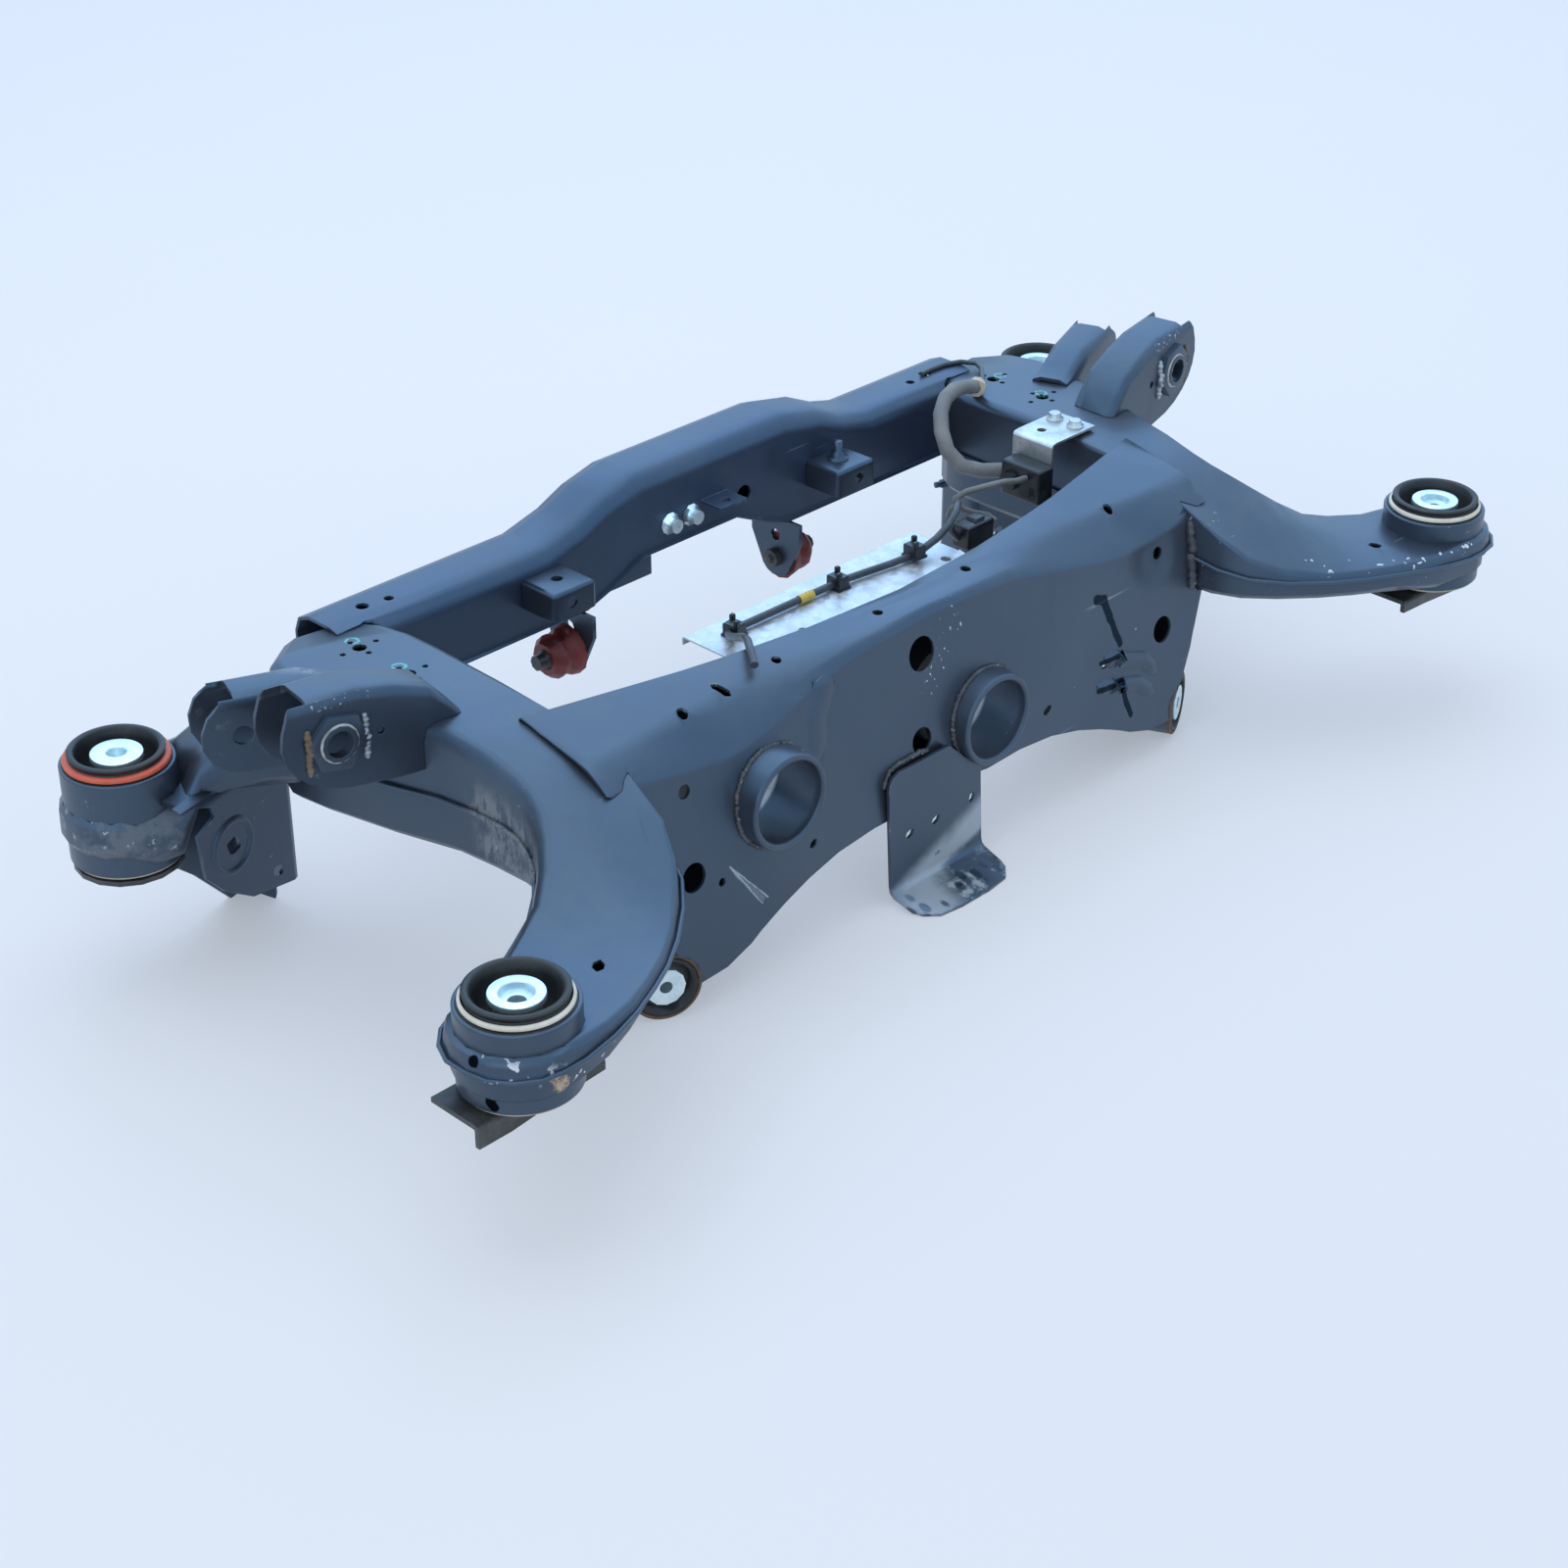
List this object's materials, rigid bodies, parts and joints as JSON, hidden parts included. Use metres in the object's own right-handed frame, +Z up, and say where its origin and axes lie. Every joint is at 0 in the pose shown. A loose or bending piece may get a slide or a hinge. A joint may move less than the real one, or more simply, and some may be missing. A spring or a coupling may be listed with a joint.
{
  "type": "vehicle rear subframe",
  "caption": "Welded pressed-steel rear subframe with rubber body mounts, differential bushes, link brackets and a clipped harness.",
  "frame": {"origin": "centre of the footprint, on the plane that the part stands on", "axes": "+X to the car's right side, +Y towards the far crossmember, +Z up along the body mounts"},
  "size_m": [1.166, 0.55, 0.2816],
  "materials": {
    "frame_paint": "satin dark blue-grey stove paint, rubbed at the edges",
    "bracket_paint": "satin black-blue paint over pressed brackets",
    "rubber": "matt moulded rubber",
    "zinc": "zinc plated, dull",
    "galvanised": "galvanised sheet, dusty",
    "red_rubber": "red-brown moulded stop",
    "black_plastic": "black moulded plastic",
    "grey_sleeve": "grey braided sleeve",
    "black_steel": "black coated steel"
  },
  "bodies": {
    "root": {"box_bracket_left": "frame_paint", "box_bracket_right": "frame_paint", "centre_bracket": "frame_paint", "connector": "black_plastic", "crossmember_back_pressing": "frame_paint", "crossmember_front_pressing": "frame_paint", "differential_tube_left": "frame_paint", "differential_tube_right": "frame_paint", "far_arm_left": "frame_paint", "far_arm_right": "frame_paint", "far_beam_lower": "frame_paint", "far_beam_upper": "frame_paint", "flange_bolt_left": "zinc", "flange_bolt_right": "zinc", "front_link_bracket_left": "bracket_paint", "front_link_bracket_right": "bracket_paint", "grey_sleeve": "grey_sleeve", "hanger_plate_left": "bracket_paint", "hanger_plate_right": "bracket_paint", "harness_cable": "black_plastic", "level_sensor": "black_plastic", "link_bush_left": "rubber", "link_bush_right": "rubber", "link_insert_left": "zinc", "link_insert_right": "zinc", "link_sleeve_left": "bracket_paint", "link_sleeve_right": "bracket_paint", "lower_link_bracket_left": "bracket_paint", "lower_link_bracket_right": "bracket_paint", "mount_collar_far_left": "frame_paint", "mount_collar_far_right": "frame_paint", "mount_collar_near_left": "frame_paint", "mount_collar_near_right": "frame_paint", "mount_insert_far_left": "zinc", "mount_insert_far_right": "zinc", "mount_insert_near_left": "zinc", "mount_insert_near_right": "zinc", "mount_rubber_far_left": "rubber", "mount_rubber_far_right": "rubber", "mount_rubber_near_left": "rubber", "mount_rubber_near_right": "rubber", "rail_lower_left": "frame_paint", "rail_lower_right": "frame_paint", "rail_upper_left": "frame_paint", "rail_upper_right": "frame_paint", "red_stop_left": "red_rubber", "red_stop_right": "red_rubber", "sensor_bracket": "zinc", "sensor_lead": "black_plastic", "shield_plate": "galvanised", "stop_bolt_left": "black_steel", "stop_bolt_right": "black_steel", "stop_plate_far_left": "black_steel", "stop_plate_far_right": "black_steel", "stop_plate_near_left": "black_steel", "stop_plate_near_right": "black_steel", "upper_link_bracket_left": "bracket_paint", "upper_link_bracket_right": "bracket_paint"}
  },
  "joints": []
}
